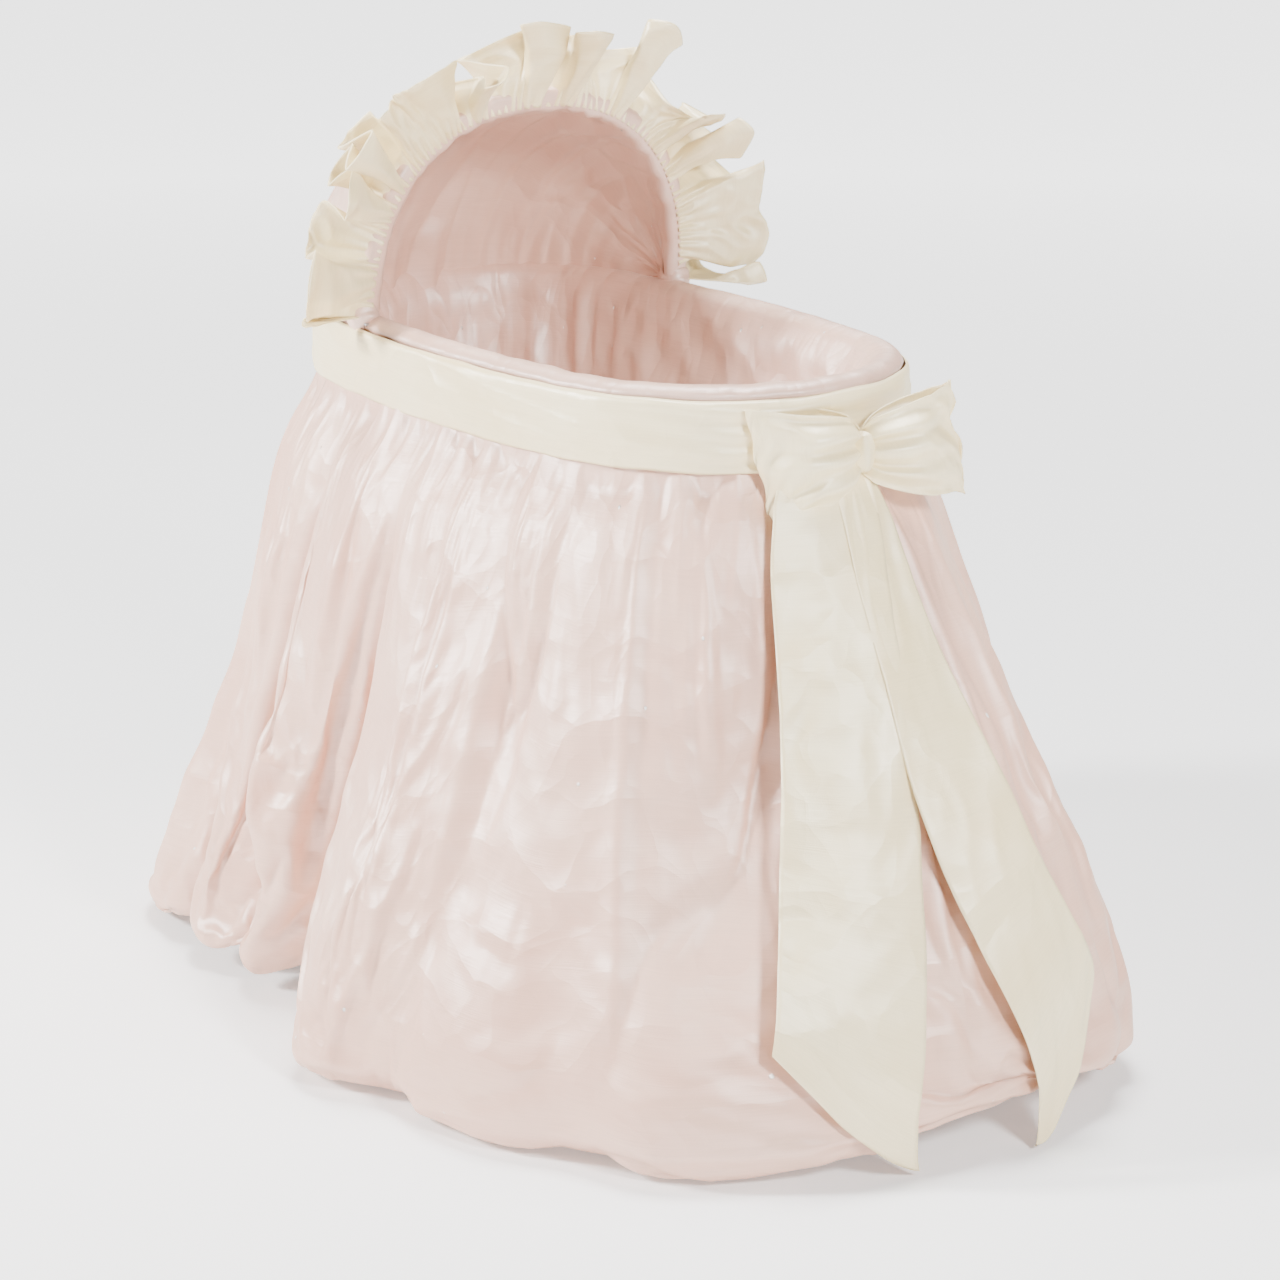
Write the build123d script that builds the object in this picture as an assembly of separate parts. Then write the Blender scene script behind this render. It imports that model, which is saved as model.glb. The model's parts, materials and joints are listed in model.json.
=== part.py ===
"""An oval bassinet with a folding hood and a floor-length skirt, on a four-legged wooden stand with casters.

Millimetres. +X points to the foot end, +Y to the left of someone standing at the head end and facing the
foot end, +Z up. The origin is on the floor, under the middle of the oval. Every layer of the basket is a parallel
offset of one four-arc oval, so a layer is given by how far it lies outside (+) or inside (-) that oval.
"""

from build123d import *
from math import atan2, cos, degrees, hypot, radians, sin
import os

os.makedirs("parts", exist_ok=True)

# --- Driving dimensions ---
RIM_HALF_LENGTH = 405.0
RIM_HALF_WIDTH = 216.5
END_RADIUS = 200.0
RIM_TOP = 731.0

BASKET_BOTTOM = 467.3
BOARD_THICKNESS = 6.0
SHELL_TOP = 708.5
SHELL_TOP_OFFSET = -11.0
SHELL_BOTTOM_OFFSET = -66.0
SHELL_THICKNESS = 6.0
RIM_RING_RADIUS = 7.0
RIM_RING_OFFSET = -14.0
LINER_THICKNESS = 8.0
MATTRESS_TOP = 512.0

SASH_BOTTOM = 655.0
SASH_TOP = 725.0
SKIRT_TOP = 718.0
SKIRT_THICKNESS = 6.0
# Height, then how far the outside of the skirt stands out from the rim oval.
SKIRT_PROFILE = [(654, -1.7), (600, 28), (500, 72), (300, 128), (150, 180), (40, 222), (0, 235)]
UNDERSKIRT_PROFILE = [(655.5, -5), (600, 12), (500, 46), (300, 96), (150, 136), (30, 160)]
UNDERSKIRT_THICKNESS = 2.5

PIVOT_X = -149.0
PIVOT_Z = 742.0
HOOD_STRAIGHT = 25.0
# Half width and height over the pivot of the front, middle and rear hood bows: each nests inside the next.
FRONT_ARCH = (196.0, 212.0)
MIDDLE_ARCH = (200.5, 224.0)
REAR_ARCH = (205.0, 236.0)
PANEL_THICKNESS = 3.0
PANEL_START = 18.0
BOW_RADIUS = 2.0
EYELET_RADIUS = 7.5
EYELET_THICKNESS = 3.0
PIN_RADIUS = 2.5
PIN_CLEARANCE = 0.05
EAR_Y = 209.0
EAR_THICKNESS = 3.0
BRACKET_LENGTH = 34.0
SCREW_SPACING = 24.0
SCREW_Y = 198.0
SCREW_RADIUS = 1.5
# Degrees up from the head-end horizontal, over the top towards the foot end.
FRONT_BOW_ANGLE = 97.0
MIDDLE_BOW_ANGLE = 62.0
REAR_BOW_ANGLE = 30.0
REAR_PANEL_ANGLE = -2.2
FRONT_PANEL_ANGLE = 60.0
MIDDLE_PANEL_ANGLE = 28.0
RUFFLE_WIDTH = 78.0
RUFFLE_THICKNESS = 8.0

LEG_X = 305.0
LEG_Y = 165.0
LEG_SIZE = 30.0
LEG_BOTTOM = 62.0
LEG_TOP = 560.0
RAIL_THICKNESS = 18.0
UPPER_RAIL_TOP = 455.0
UPPER_RAIL_HEIGHT = 40.0
LOWER_RAIL_TOP = 160.0
LOWER_RAIL_HEIGHT = 30.0
SLAT_SPACING = 180.0
SLAT_WIDTH = 60.0
SLAT_THICKNESS = 12.0
SHELF_THICKNESS = 8.0
BOLT_RADIUS = 3.0
BOLT_REACH = 50.0

WHEEL_RADIUS = 25.0
WHEEL_WIDTH = 18.0
CASTER_TRAIL = 20.0
STEM_RADIUS = 4.0
SOCKET_RADIUS = 6.0
SOCKET_DEPTH = 38.0
AXLE_RADIUS = 3.0
# The brake pedal's pin, from the caster's swivel axis at floor level.
BRAKE_PIVOT = (-38.0, 0.0, 50.0)
BRAKE_PIN_RADIUS = 1.5
CHEEK_THICKNESS = 2.5
FORK_GAP = WHEEL_WIDTH + 2.4
FORK_WIDTH = FORK_GAP + 2 * CHEEK_THICKNESS

# --- The rim oval ---
END_CENTRE = RIM_HALF_LENGTH - END_RADIUS
SIDE_RADIUS = (RIM_HALF_LENGTH**2 + RIM_HALF_WIDTH**2 - 2 * RIM_HALF_LENGTH * END_RADIUS) / (
    2 * (RIM_HALF_WIDTH - END_RADIUS)
)
SIDE_CENTRE = SIDE_RADIUS - RIM_HALF_WIDTH
END_HALF_ANGLE = degrees(atan2(SIDE_CENTRE, END_CENTRE))


def oval_face(offset, z):
    """The rim oval, moved out by offset, as a flat face at height z."""
    end, side = END_RADIUS + offset, SIDE_RADIUS + offset
    length = hypot(END_CENTRE, SIDE_CENTRE)
    jx = END_CENTRE + end * END_CENTRE / length
    jy = end * SIDE_CENTRE / length
    tip, flank = END_CENTRE + end, side - SIDE_CENTRE
    outline = Wire(
        [
            ThreePointArc((jx, -jy), (tip, 0), (jx, jy)),
            ThreePointArc((jx, jy), (0, flank), (-jx, jy)),
            ThreePointArc((-jx, jy), (-tip, 0), (-jx, -jy)),
            ThreePointArc((-jx, -jy), (0, -flank), (jx, -jy)),
        ]
    )
    return Pos(0, 0, z) * make_face(outline)


def oval_board(offset, low, high):
    return extrude(oval_face(offset, low), high - low)


def sector(profile, centre, radius, start, sweep):
    """One sector of a ring: the profile turned about a vertical axis through centre."""
    points = [(radius + offset, z) for offset, z in profile]
    face = Plane.XZ * make_face(Polyline(*points, close=True))
    turned = revolve(Rot(0, 0, start) * face, Axis.Z, sweep)
    return Pos(centre[0], centre[1], 0) * turned


def oval_ring(profile):
    """A closed ring round the rim oval, with the given cross-section in (offset, z)."""
    side_sweep = 2 * (90 - END_HALF_ANGLE)
    ring = sector(profile, (END_CENTRE, 0), END_RADIUS, -END_HALF_ANGLE, 2 * END_HALF_ANGLE)
    ring += sector(profile, (0, -SIDE_CENTRE), SIDE_RADIUS, END_HALF_ANGLE, side_sweep)
    ring += sector(profile, (-END_CENTRE, 0), END_RADIUS, 180 - END_HALF_ANGLE, 2 * END_HALF_ANGLE)
    ring += sector(profile, (0, SIDE_CENTRE), SIDE_RADIUS, 180 + END_HALF_ANGLE, side_sweep)
    return ring


def hung_cloth(profile, thickness, top):
    """The cross-section of a hanging layer whose outside follows profile and whose upper edge is top thick."""
    outside = [(offset, z) for z, offset in profile]
    inside = [(offset - (top if n == 0 else thickness), z) for n, (z, offset) in enumerate(profile)]
    return outside + inside[::-1]


# --- Basket ---
def basket_shell():
    return oval_ring(
        [
            (SHELL_TOP_OFFSET, SHELL_TOP),
            (SHELL_BOTTOM_OFFSET, BASKET_BOTTOM + BOARD_THICKNESS + 0.2),
            (SHELL_BOTTOM_OFFSET - SHELL_THICKNESS, BASKET_BOTTOM + BOARD_THICKNESS + 0.2),
            (SHELL_TOP_OFFSET - SHELL_THICKNESS, SHELL_TOP),
        ]
    )


def rim_ring():
    """The round braided border on the shell's upper edge."""
    steps = 12
    z = SHELL_TOP + 0.5 + RIM_RING_RADIUS
    circle = [radians(360 * n / steps) for n in range(steps)]
    return oval_ring(
        [(RIM_RING_OFFSET + RIM_RING_RADIUS * cos(t), z + RIM_RING_RADIUS * sin(t)) for t in circle]
    )


def basket_liner():
    """The padded lining: down the inside, over the border and down the outside as a flap."""
    gap = 0.5
    floor = BASKET_BOTTOM + BOARD_THICKNESS + 0.7
    wall_top = SHELL_TOP_OFFSET - SHELL_THICKNESS - gap
    wall_bottom = SHELL_BOTTOM_OFFSET - SHELL_THICKNESS - gap
    return oval_ring(
        [
            (-6.5, SASH_BOTTOM + 1),
            (-4, SASH_BOTTOM + 1),
            (-4, RIM_TOP - 7),
            (-8, RIM_TOP - 1),
            (-14, RIM_TOP),
            (-22, RIM_TOP - 1),
            (-30, RIM_TOP - 7),
            (wall_bottom - LINER_THICKNESS, floor),
            (wall_bottom, floor),
            (wall_top - 4.5, SHELL_TOP - 8.5),
            (-22, RIM_TOP - 7),
            (-6.5, RIM_TOP - 7),
        ]
    )


def mattress():
    floor = BASKET_BOTTOM + BOARD_THICKNESS + 0.7
    pad = oval_board(SHELL_BOTTOM_OFFSET - SHELL_THICKNESS - LINER_THICKNESS - 2, floor, MATTRESS_TOP)
    return fillet(pad.edges().group_by(Axis.Z)[-1], 8)


# --- Skirt, sash and bow ---
def skirt():
    cloth = oval_ring(hung_cloth(SKIRT_PROFILE, SKIRT_THICKNESS, 2.0))
    band = oval_ring([(-1.7, 654), (-1.7, SKIRT_TOP), (-3.7, SKIRT_TOP), (-3.7, 654)])
    return cloth + band


def underskirt():
    return oval_ring(hung_cloth(UNDERSKIRT_PROFILE, UNDERSKIRT_THICKNESS, UNDERSKIRT_THICKNESS))


def sash_band():
    return oval_ring([(-1.4, SASH_BOTTOM), (1.6, SASH_BOTTOM), (1.6, SASH_TOP), (-1.4, SASH_TOP)])


def at_foot_end(shape, angle):
    """Places a shape drawn about the end centre's axis, with its outward direction along +X."""
    return Pos(END_CENTRE, 0, 0) * Rot(0, 0, angle) * shape


def skirt_offset(height):
    """How far the skirt's outside stands out from the rim oval at that height."""
    for (z_high, out_high), (z_low, out_low) in zip(SKIRT_PROFILE, SKIRT_PROFILE[1:]):
        if z_low <= height <= z_high:
            return out_low + (out_high - out_low) * (height - z_low) / (z_high - z_low)
    return SKIRT_PROFILE[0][1]


def bow_loop(angle, low, high, width):
    """A puffed loop that hangs over the sash and rests on the top of the skirt."""
    gap, depth = 6.0, 40.0
    back = [(END_RADIUS + skirt_offset(z) + gap, z) for z in (high, SASH_BOTTOM, low)]
    front = [(r + depth, z) for r, z in back]
    loop = extrude(Plane.XZ * make_face(Polyline(*back, *front[::-1], close=True)), width / 2, both=True)
    return at_foot_end(fillet(loop.edges().filter_by(Axis.Y), 8), angle)


def bow_knot():
    gap, depth, width, height, middle = 4.0, 30.0, 26.0, 44.0, 682.0
    knot = fillet(Box(depth, width, height).edges(), 9)
    return at_foot_end(Pos(END_RADIUS + gap + depth / 2, 0, middle) * knot, 0)


def sash_tail(angle, width, low):
    """A ribbon end that lies down the outside of the skirt."""
    gap, thick, top = 3.0, 3.0, 604.0
    heights = [top] + [z for z, _ in SKIRT_PROFILE if low < z < top] + [low]
    inner = [(END_RADIUS + skirt_offset(z) + gap, z) for z in heights]
    outer = [(r + thick, z) for r, z in inner]
    side = Plane.XZ * make_face(Polyline(*inner, *outer[::-1], close=True))
    return at_foot_end(extrude(side, width / 2, both=True), angle)


# --- Hood ---
def arch_plane(angle):
    """The plane through the pivot axis at that angle: its x is +Y, and its y points away from the axis."""
    t = radians(angle)
    return Plane(origin=(PIVOT_X, 0, PIVOT_Z), x_dir=(0, 1, 0), z_dir=(sin(t), 0, cos(t)))


def arch_line(half_width, height, start):
    """One side up, over the top and down the other side."""
    return [
        Line((half_width, start), (half_width, HOOD_STRAIGHT)),
        EllipticalCenterArc((0, HOOD_STRAIGHT), half_width, height - HOOD_STRAIGHT, 0, arc_size=180),
        Line((-half_width, HOOD_STRAIGHT), (-half_width, start)),
    ]


def arch_band(half_width, height, inward, outward, start):
    outer = arch_line(half_width + outward, height + outward, start)
    inner = arch_line(half_width - inward, height - inward, start)
    feet = [
        Line((side * (half_width - inward), start), (side * (half_width + outward), start))
        for side in (1, -1)
    ]
    return make_face(Wire(outer + inner + feet))


def hood_panel(arch, low, high):
    """A stretch of the canopy, swept about the pivot axis so that the panels slide inside one another."""
    half = PANEL_THICKNESS / 2
    band = arch_plane(low) * arch_band(*arch, half, half, PANEL_START)
    return revolve(band, Axis((PIVOT_X, 0, PIVOT_Z), (0, 1, 0)), high - low)


def hood_bow(arch, angle):
    """A sprung wire bow with a flat eyelet at each end."""
    half_width, height = arch
    path = Wire(arch_line(half_width, height, EYELET_RADIUS - 1))
    start = Plane(origin=(half_width, EYELET_RADIUS - 1, 0), z_dir=(0, 1, 0))
    bow = sweep(start * Circle(BOW_RADIUS), path)
    for side in (1, -1):
        axis = Pos(side * half_width, 0, 0) * Rot(0, 90, 0)
        bow += axis * Cylinder(EYELET_RADIUS, EYELET_THICKNESS)
    bow -= Rot(0, 90, 0) * Cylinder(PIN_RADIUS + PIN_CLEARANCE, 3 * half_width)
    return arch_plane(angle) * bow


def hood_ruffle():
    """The gathered frill: a flat arch that stands just in front of the front bow."""
    ahead, gap, start = 1.0, 4.0, 24.0
    band = arch_band(*FRONT_ARCH, -gap, RUFFLE_WIDTH, start)
    frill = Pos(0, 0, ahead + RUFFLE_THICKNESS / 2) * extrude(band, RUFFLE_THICKNESS / 2, both=True)
    return arch_plane(FRONT_BOW_ANGLE) * frill


def hood_bracket(side):
    """A plate on the rim with an upright ear that carries the pivot pin."""
    plate_thick, rim_gap = 2.0, 0.2
    plate_low = RIM_TOP + rim_gap
    inner_y, outer_y = 190.0, EAR_Y + EAR_THICKNESS / 2
    ear_width, ear_top = 18.0, PIVOT_Z + 9.8
    plate = Pos(0, (inner_y + outer_y) / 2, plate_low + plate_thick / 2) * Box(
        BRACKET_LENGTH, outer_y - inner_y, plate_thick
    )
    ear = Pos(0, EAR_Y, (plate_low + ear_top) / 2) * Box(ear_width, EAR_THICKNESS, ear_top - plate_low)
    bracket = plate + fillet(ear.edges().filter_by(Axis.Y).group_by(Axis.Z)[-1], ear_width / 2 - 1)
    bracket -= Pos(0, EAR_Y, PIVOT_Z) * Rot(90, 0, 0) * Cylinder(PIN_RADIUS, 3 * EAR_THICKNESS)
    for x in (-SCREW_SPACING / 2, SCREW_SPACING / 2):
        bracket -= Pos(x, SCREW_Y, RIM_TOP) * Cylinder(SCREW_RADIUS + 0.1, 10)
    if side < 0:
        bracket = mirror(bracket, Plane.XZ)
    return Pos(PIVOT_X, 0, 0) * bracket


def hood_pins():
    """A headed pin each side, from inside the front bow out through the ear."""
    head_radius, head_thick, head_y = 4.5, 2.0, 191.5
    tip_y = EAR_Y + EAR_THICKNESS / 2 + 1
    length = tip_y - head_y - head_thick
    pin = Pos(0, tip_y - length / 2, 0) * Rot(90, 0, 0) * Cylinder(PIN_RADIUS, length)
    head = Pos(0, head_y + head_thick / 2, 0) * Rot(90, 0, 0) * Cylinder(head_radius, head_thick)
    whole = Pos(PIVOT_X, 0, PIVOT_Z) * (pin + head)
    return Compound([whole, mirror(whole, Plane.XZ)])


def bracket_screws():
    """Four round-headed screws that go down through the lining into the border."""
    reach, head_radius, head_thick = 12.0, 3.0, 1.6
    head_low = RIM_TOP + 2.2
    shank = Pos(0, 0, head_low - reach / 2) * Cylinder(SCREW_RADIUS, reach)
    screw = shank + Pos(0, 0, head_low + head_thick / 2) * Cylinder(head_radius, head_thick)
    places = [(x, y) for x in (-SCREW_SPACING / 2, SCREW_SPACING / 2) for y in (SCREW_Y, -SCREW_Y)]
    return Compound([Pos(PIVOT_X + x, y, 0) * screw for x, y in places])


def hood_tabs():
    """Two small white loops on the lining, just in front of the hood, that hold the canopy's lower corners."""
    ahead, below, y = 28.0, 22.0, 176.8
    tilt = degrees(atan2(SHELL_TOP_OFFSET - SHELL_BOTTOM_OFFSET, SHELL_TOP - BASKET_BOTTOM))
    far = Pos(PIVOT_X + ahead, y, RIM_TOP - below) * Rot(-tilt, 0, 0) * Box(7, 1.2, 26)
    return Compound([far, mirror(far, Plane.XZ)])


# --- Stand ---
def bolt_places():
    """Each bolt: the leg's signs, whether it runs along X or Y, and its height."""
    # The two bolts that meet in a leg pass one above the other.
    heights = {"X": (UPPER_RAIL_TOP - 13, LOWER_RAIL_TOP - 10), "Y": (UPPER_RAIL_TOP - 28, LOWER_RAIL_TOP - 21)}
    return [
        (sx, sy, way, z)
        for sx in (1, -1)
        for sy in (1, -1)
        for way, pair in heights.items()
        for z in pair
    ]


def bolt(sx, sy, way, z, radius, head):
    """One bolt, in from the outside of a leg and on into the rail; head 0 leaves out the head."""
    inward = Rot(0, -90, 0) if way == "X" else Rot(90, 0, 0)
    shape = Pos(0, 0, BOLT_REACH / 2) * Cylinder(radius, BOLT_REACH)
    if head:
        shape += Pos(0, 0, -head / 2) * Cylinder(BOLT_RADIUS + 2.5, head)
    turn = inward if (sx if way == "X" else sy) > 0 else Rot(0, 0, 180) * inward
    x = sx * (LEG_X + (LEG_SIZE / 2 if way == "X" else 0))
    y = sy * (LEG_Y + (LEG_SIZE / 2 if way == "Y" else 0))
    return Pos(x, y, z) * turn * shape


def drilled(shape, signs=None):
    """The shape less the bolt holes that reach it."""
    for sx, sy, way, z in bolt_places():
        if signs is None or (sx, sy) == signs:
            shape -= bolt(sx, sy, way, z, BOLT_RADIUS, 0)
    return shape


def leg(sx, sy):
    height = LEG_TOP - LEG_BOTTOM
    post = Pos(0, 0, LEG_BOTTOM + height / 2) * Box(LEG_SIZE, LEG_SIZE, height)
    post = fillet(post.edges().filter_by(Axis.Z), 3)
    post = fillet(post.faces().sort_by(Axis.Z)[-1].edges(), 4)
    post -= Pos(0, 0, LEG_BOTTOM + SOCKET_DEPTH / 2) * Cylinder(SOCKET_RADIUS, SOCKET_DEPTH)
    return drilled(Pos(sx * LEG_X, sy * LEG_Y, 0) * post, (sx, sy))


def side_rail(sy, top, height):
    length = 2 * LEG_X - LEG_SIZE
    return drilled(Pos(0, sy * LEG_Y, top - height / 2) * Box(length, RAIL_THICKNESS, height))


def end_rail(sx, top, height):
    length = 2 * LEG_Y - LEG_SIZE
    return drilled(Pos(sx * LEG_X, 0, top - height / 2) * Box(RAIL_THICKNESS, length, height))


def basket_slat(x):
    length = 2 * LEG_Y + RAIL_THICKNESS - 2
    slat = Box(SLAT_WIDTH, length, SLAT_THICKNESS)
    slat = fillet(slat.edges().filter_by(Axis.Y), 3)
    return Pos(x, 0, UPPER_RAIL_TOP + SLAT_THICKNESS / 2) * slat


def shelf():
    length, width = 2 * LEG_X - LEG_SIZE - 2, 2 * LEG_Y + RAIL_THICKNESS
    board = fillet(Box(length, width, SHELF_THICKNESS).edges().filter_by(Axis.Z), 6)
    return Pos(0, 0, LOWER_RAIL_TOP + SHELF_THICKNESS / 2) * board


def rail_bolts():
    return Compound([bolt(*place, BOLT_RADIUS, 3) for place in bolt_places()])


# --- Casters ---
def caster_sockets():
    """Metal sleeves pressed up into the legs, each with a flange below."""
    flange_radius, flange_thick, bore_top = 10.0, 2.0, LEG_BOTTOM + SOCKET_DEPTH - 4
    tube = Pos(0, 0, LEG_BOTTOM + SOCKET_DEPTH / 2) * Cylinder(SOCKET_RADIUS, SOCKET_DEPTH)
    flange = Pos(0, 0, LEG_BOTTOM - flange_thick / 2) * Cylinder(flange_radius, flange_thick)
    bore = Pos(0, 0, bore_top - SOCKET_DEPTH / 2 - 2) * Cylinder(STEM_RADIUS + 0.05, SOCKET_DEPTH + 4)
    socket = tube + flange - bore
    return Compound([Pos(sx * LEG_X, sy * LEG_Y, 0) * socket for sx in (1, -1) for sy in (1, -1)])


def caster_fork(sx, sy, has_brake):
    """A stem and top plate with two cheeks that hold the axle behind the stem's axis."""
    plate_z, plate_thick, stem = LEG_BOTTOM - 4.5, 3.0, 34.0
    plate = Pos(-8, 0, plate_z) * Box(34, FORK_WIDTH, plate_thick)
    fork = fillet(plate.edges().filter_by(Axis.Z), 5)
    outline = Polyline((9, plate_z), (-25, plate_z), (-43, 54), (-43, 46), (-27, 20), (-13, 20), close=True)
    cheek = extrude(Plane.XZ * make_face(outline), CHEEK_THICKNESS / 2, both=True)
    for side in (1, -1):
        fork += Pos(0, side * (FORK_GAP + CHEEK_THICKNESS) / 2, 0) * cheek
    fork += Pos(0, 0, plate_z + stem / 2) * Cylinder(STEM_RADIUS, stem)
    fork -= Pos(-CASTER_TRAIL, 0, WHEEL_RADIUS) * Rot(90, 0, 0) * Cylinder(AXLE_RADIUS, 60)
    if has_brake:
        fork -= Pos(*BRAKE_PIVOT) * Rot(90, 0, 0) * Cylinder(BRAKE_PIN_RADIUS, 60)
    return Pos(sx * LEG_X, sy * LEG_Y, 0) * fork


def caster_axle(sx, sy):
    head_thick = 1.8
    pin = Cylinder(AXLE_RADIUS, FORK_WIDTH)
    for side in (1, -1):
        pin += Pos(0, 0, side * (FORK_WIDTH + head_thick) / 2) * Cylinder(AXLE_RADIUS + 2, head_thick)
    return Pos(sx * LEG_X - CASTER_TRAIL, sy * LEG_Y, WHEEL_RADIUS) * Rot(90, 0, 0) * pin


def caster_wheel(sx, sy):
    recess_depth, tyre_thick, hub_radius = 3.0, 8.0, 7.0
    wheel = Cylinder(WHEEL_RADIUS, WHEEL_WIDTH)
    wheel = fillet(wheel.edges(), 3)
    recess = Cylinder(WHEEL_RADIUS - tyre_thick, recess_depth) - Cylinder(hub_radius, recess_depth)
    for side in (1, -1):
        wheel -= Pos(0, 0, side * (WHEEL_WIDTH - recess_depth) / 2) * recess
    wheel -= Cylinder(AXLE_RADIUS + 0.06, 60)
    return Pos(sx * LEG_X - CASTER_TRAIL, sy * LEG_Y, WHEEL_RADIUS) * Rot(90, 0, 0) * wheel


def brake_pedal(sx, sy):
    """A foot lever on a cross pin at the back of the fork: pressed down, its cam comes against the tyre."""
    barrel = Rot(90, 0, 0) * Cylinder(3.4, WHEEL_WIDTH)
    cam = Pos(-0.8, 0, -3.3) * Box(3.6, WHEEL_WIDTH - 4, 4.6)
    lift = Rot(0, 12, 0)
    arm = Pos(-14, 0, 4) * lift * Box(26, WHEEL_WIDTH, 2.6)
    tread = Pos(-27, 0, 5.5) * lift * fillet(Box(9, WHEEL_WIDTH + 8, 5).edges(), 1.5)
    pedal = barrel + cam + arm + tread
    pedal -= Rot(90, 0, 0) * Cylinder(BRAKE_PIN_RADIUS + 0.05, 60)
    return Pos(sx * LEG_X, sy * LEG_Y, 0) * Pos(*BRAKE_PIVOT) * pedal


def brake_pin(sx, sy):
    pin = Rot(90, 0, 0) * Cylinder(BRAKE_PIN_RADIUS, FORK_WIDTH)
    return Pos(sx * LEG_X, sy * LEG_Y, 0) * Pos(*BRAKE_PIVOT) * pin


CORNERS = {"foot_left": (1, 1), "foot_right": (1, -1), "head_left": (-1, 1), "head_right": (-1, -1)}
BRAKED = ("foot_right", "head_left")


def build():
    parts = {
        "bottom_board": oval_board(SHELL_BOTTOM_OFFSET + 1, BASKET_BOTTOM, BASKET_BOTTOM + BOARD_THICKNESS),
        "basket_shell": basket_shell(),
        "rim_ring": rim_ring(),
        "basket_liner": basket_liner(),
        "mattress": mattress(),
        "skirt": skirt(),
        "underskirt": underskirt(),
        "sash_band": sash_band(),
        "bow_knot": bow_knot(),
        "bow_loop_right": bow_loop(-19, 612, 732, 92),
        "bow_loop_left": bow_loop(19, 630, 738, 92),
        "sash_tail_right": sash_tail(-17, 132, 8),
        "sash_tail_left": sash_tail(18, 96, 14),
        "hood_rear_bow": hood_bow(REAR_ARCH, REAR_BOW_ANGLE),
        "hood_rear_panel": hood_panel(REAR_ARCH, REAR_PANEL_ANGLE, REAR_BOW_ANGLE),
        "hood_bracket_left": hood_bracket(1),
        "hood_bracket_right": hood_bracket(-1),
        "hood_pivot_pins": hood_pins(),
        "bracket_screws": bracket_screws(),
        "hood_tabs": hood_tabs(),
        "hood_middle_bow": hood_bow(MIDDLE_ARCH, MIDDLE_BOW_ANGLE),
        "hood_middle_panel": hood_panel(MIDDLE_ARCH, MIDDLE_PANEL_ANGLE, MIDDLE_BOW_ANGLE),
        "hood_front_bow": hood_bow(FRONT_ARCH, FRONT_BOW_ANGLE),
        "hood_front_panel": hood_panel(FRONT_ARCH, FRONT_PANEL_ANGLE, FRONT_BOW_ANGLE),
        "hood_ruffle": hood_ruffle(),
        "shelf_board": shelf(),
        "rail_bolts": rail_bolts(),
        "caster_sockets": caster_sockets(),
    }
    levels = {"upper": (UPPER_RAIL_TOP, UPPER_RAIL_HEIGHT), "lower": (LOWER_RAIL_TOP, LOWER_RAIL_HEIGHT)}
    for level, (top, height) in levels.items():
        parts[f"{level}_side_rail_left"] = side_rail(1, top, height)
        parts[f"{level}_side_rail_right"] = side_rail(-1, top, height)
        parts[f"{level}_end_rail_foot"] = end_rail(1, top, height)
        parts[f"{level}_end_rail_head"] = end_rail(-1, top, height)
    for name, x in {"head": -SLAT_SPACING, "middle": 0, "foot": SLAT_SPACING}.items():
        parts[f"basket_slat_{name}"] = basket_slat(x)
    for corner, signs in CORNERS.items():
        parts[f"leg_{corner}"] = leg(*signs)
        parts[f"caster_fork_{corner}"] = caster_fork(*signs, corner in BRAKED)
        parts[f"caster_axle_{corner}"] = caster_axle(*signs)
        parts[f"caster_wheel_{corner}"] = caster_wheel(*signs)
    for corner in BRAKED:
        parts[f"brake_pedal_{corner}"] = brake_pedal(*CORNERS[corner])
        parts[f"brake_pin_{corner}"] = brake_pin(*CORNERS[corner])
    return parts


for name, shape in build().items():
    export_step(shape, f"parts/{name}.step")
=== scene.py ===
"""The looks of an oval bassinet with a folding hood and a floor-length skirt, on a wooden stand.

Metres. +X points to the foot end, +Z up, and the origin is on the floor under the middle of the oval. Every
cloth follows the same four-arc rim oval, so a place on it is a turn round the rim, from 0 at the foot end
through +Y, how far it stands out from the oval, and its height.
"""

import json

import bpy
import numpy as np
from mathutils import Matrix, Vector
from mathutils.bvhtree import BVHTree


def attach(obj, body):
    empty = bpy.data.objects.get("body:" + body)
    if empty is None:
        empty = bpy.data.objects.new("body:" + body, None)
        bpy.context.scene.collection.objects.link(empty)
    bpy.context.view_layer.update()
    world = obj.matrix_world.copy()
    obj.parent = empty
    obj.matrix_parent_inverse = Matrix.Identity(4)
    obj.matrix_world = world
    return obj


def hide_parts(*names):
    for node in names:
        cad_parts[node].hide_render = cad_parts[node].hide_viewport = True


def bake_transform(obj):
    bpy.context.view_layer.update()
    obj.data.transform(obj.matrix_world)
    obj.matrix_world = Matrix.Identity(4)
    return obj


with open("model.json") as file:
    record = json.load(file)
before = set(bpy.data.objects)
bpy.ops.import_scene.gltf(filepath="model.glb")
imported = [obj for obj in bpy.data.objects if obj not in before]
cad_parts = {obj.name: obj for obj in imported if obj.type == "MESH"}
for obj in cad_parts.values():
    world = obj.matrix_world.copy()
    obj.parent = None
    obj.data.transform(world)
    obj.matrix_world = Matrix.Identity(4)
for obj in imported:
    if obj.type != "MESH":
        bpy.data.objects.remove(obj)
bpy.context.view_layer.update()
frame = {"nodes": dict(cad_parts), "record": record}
NODES = frame["nodes"]

TAU = 2 * np.pi

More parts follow.
